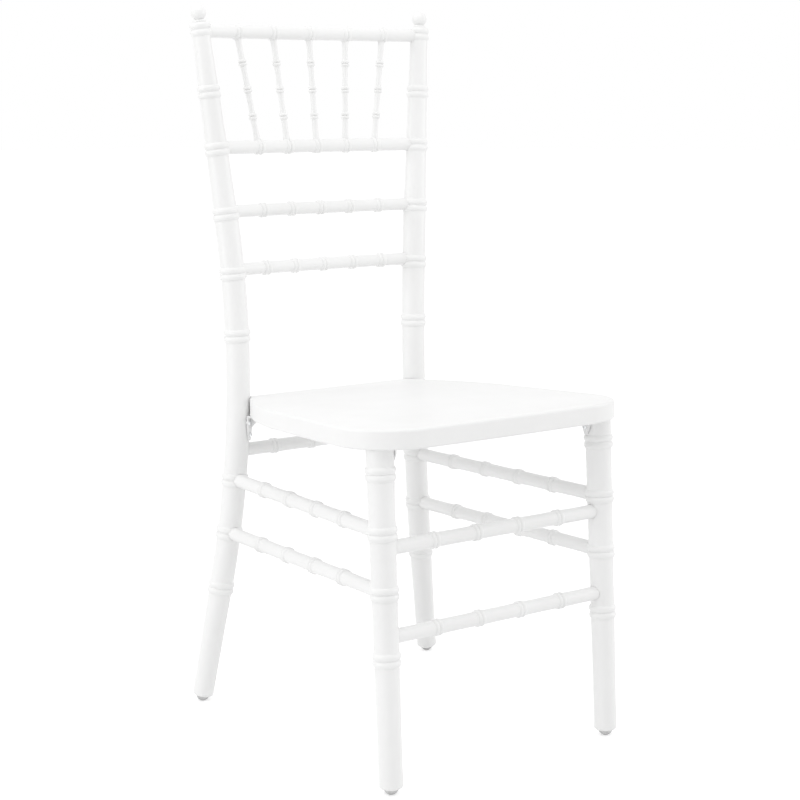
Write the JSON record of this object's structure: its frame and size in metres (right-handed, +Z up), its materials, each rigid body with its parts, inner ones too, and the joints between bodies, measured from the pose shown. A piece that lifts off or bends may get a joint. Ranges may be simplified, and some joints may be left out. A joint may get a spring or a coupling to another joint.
{
  "type": "chiavari chair",
  "caption": "Stacking banquet chair with turned bamboo-style posts, spindled back, ringed rails and stretchers and a solid seat on corner brackets.",
  "frame": {"origin": "on the floor at the centre of the chair's footprint box", "axes": "+Z up, -Y the way the sitter faces, +X to the right as seen from the front"},
  "size_m": [0.403, 0.4576, 0.92],
  "materials": {
    "painted_white_wood": "satin",
    "painted_white_steel": "satin",
    "zinc_plated_steel": "satin",
    "glide_steel": "satin"
  },
  "bodies": {
    "root": {"rear_post_right": "painted_white_wood", "rear_post_left": "painted_white_wood", "front_leg_right": "painted_white_wood", "front_leg_left": "painted_white_wood", "seat": "painted_white_wood", "top_rail": "painted_white_wood", "spindle_rail": "painted_white_wood", "upper_back_rail": "painted_white_wood", "lower_back_rail": "painted_white_wood", "spindle_left_outer": "painted_white_wood", "spindle_left_inner": "painted_white_wood", "spindle_centre": "painted_white_wood", "spindle_right_inner": "painted_white_wood", "spindle_right_outer": "painted_white_wood", "front_stretcher_upper": "painted_white_wood", "front_stretcher_lower": "painted_white_wood", "side_stretcher_right_upper": "painted_white_wood", "side_stretcher_right_lower": "painted_white_wood", "side_stretcher_left_upper": "painted_white_wood", "side_stretcher_left_lower": "painted_white_wood", "rear_stretcher": "painted_white_wood", "seat_bracket_front_right": "painted_white_steel", "seat_bracket_front_left": "painted_white_steel", "seat_bracket_rear_right": "painted_white_steel", "seat_bracket_rear_left": "painted_white_steel", "bracket_screws": "zinc_plated_steel", "glide_front_right": "glide_steel", "glide_front_left": "glide_steel", "glide_rear_right": "glide_steel", "glide_rear_left": "glide_steel"}
  },
  "joints": []
}
